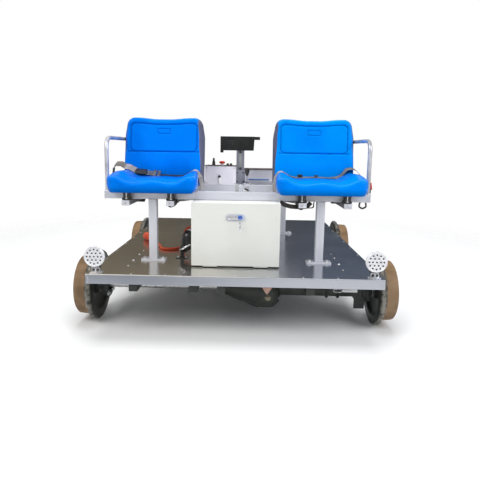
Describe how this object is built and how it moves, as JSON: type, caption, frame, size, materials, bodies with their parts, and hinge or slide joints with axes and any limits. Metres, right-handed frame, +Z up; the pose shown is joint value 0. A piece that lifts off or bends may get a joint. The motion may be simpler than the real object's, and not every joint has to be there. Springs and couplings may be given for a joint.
{
  "type": "electric rail trolley",
  "caption": "Flat-decked electric rail trolley with flanged wheels, padded seats on a tube frame, a lockable storage box, driving controls and lamps.",
  "frame": {"origin": "on the ground under the wheel flanges, at the middle of the deck", "axes": "+X to the right seen from the front, +Y along the track towards the rear, +Z up"},
  "size_m": [1.557, 1.62, 1.0253],
  "materials": {
    "deck_sheet": "dark satin sheet, slightly glossy",
    "frame_metal": "brushed light grey",
    "black_steel": "satin black paint",
    "bearing_iron": "dark painted casting",
    "shaft_steel": "turned steel",
    "wheel_iron": "brown primer on the tread, black faces, worn bright flange",
    "tab_copper": "dull copper-coloured plate",
    "case_iron": "black painted casting",
    "grey_steel": "grey zinc plate",
    "mount_rubber": "black moulded rubber",
    "seat_vinyl": "bright blue vinyl, satin",
    "bright_tube": "bright polished tube",
    "belt_webbing": "grey woven webbing",
    "box_paint": "cream white powder coat",
    "latch_plastic": "pale plastic with bright grip",
    "battery_case": "black battery case",
    "control_paint": "pale grey powder coat",
    "black_plastic": "black moulded plastic",
    "white_plastic": "white plastic",
    "stop_red": "red plastic",
    "post_metal": "galvanised sheet",
    "housing_aluminium": "brushed aluminium",
    "lamp_metal": "bright rim with clear lens cluster",
    "horn_black": "gloss black with a bright rim",
    "cable_orange": "orange-red sheath",
    "plug_orange": "orange-red plug body"
  },
  "bodies": {
    "root": {"armrest_left": "bright_tube", "armrest_right": "bright_tube", "axle_bearings": "bearing_iron", "axle_hangers": "black_steel", "axle_saddle": "grey_steel", "axle_ubolts": "shaft_steel", "battery_pack": "battery_case", "beam_tab": "tab_copper", "brake_lever_knob": "black_plastic", "brake_lever_stem": "bright_tube", "cable_gland": "black_plastic", "cable_plug": "plug_orange", "control_box_body": "control_paint", "control_box_lid": "black_plastic", "control_knobs": "black_plastic", "control_stop_button": "stop_red", "control_switch_lever": "white_plastic", "controller_housing": "housing_aluminium", "deck_beam_ends": "frame_metal", "deck_beam_sides": "frame_metal", "deck_cross_members": "black_steel", "deck_plate_front": "deck_sheet", "deck_plate_rear": "deck_sheet", "display_housing": "black_plastic", "display_post": "post_metal", "drive_gear_case": "case_iron", "drive_motor": "case_iron", "gear_case_plug": "shaft_steel", "horn": "horn_black", "horn_bracket": "black_steel", "lamp_left": "lamp_metal", "lamp_right": "lamp_metal", "power_cable": "cable_orange", "seat_back_left": "seat_vinyl", "seat_back_right": "seat_vinyl", "seat_bearers": "frame_metal", "seat_belt_left": "belt_webbing", "seat_belt_right": "belt_webbing", "seat_cushion_left": "seat_vinyl", "seat_cushion_right": "seat_vinyl", "seat_legs_front": "frame_metal", "seat_legs_rear": "frame_metal", "seat_mounts": "mount_rubber", "seat_pan_left": "black_steel", "seat_pan_right": "black_steel", "seat_rail_centre": "frame_metal", "seat_rail_front": "frame_metal", "seat_rail_middle": "frame_metal", "seat_rail_rear": "frame_metal", "storage_box_body": "box_paint", "underframe_long_bearers": "black_steel"},
    "front_wheelset": {"front_axle": "shaft_steel", "front_wheel_left": "wheel_iron", "front_wheel_right": "wheel_iron"},
    "rear_wheelset": {"rear_axle": "shaft_steel", "rear_wheel_left": "wheel_iron", "rear_wheel_right": "wheel_iron"},
    "box_door": {"storage_box_door": "box_paint", "door_latch": "latch_plastic"}
  },
  "joints": [
    {"name": "front_wheelset_spin", "type": "hinge", "parent": "root", "child": "front_wheelset", "pos_m": [0, -0.53, 0.175], "axis": [1, 0, 0], "continuous": true},
    {"name": "rear_wheelset_spin", "type": "hinge", "parent": "root", "child": "rear_wheelset", "pos_m": [0, 0.53, 0.175], "axis": [1, 0, 0], "continuous": true},
    {"name": "box_door_hinge", "type": "hinge", "parent": "root", "child": "box_door", "pos_m": [0, -0.658, 0.3125], "axis": [1, 0, 0], "range_deg": [0, 85]}
  ]
}
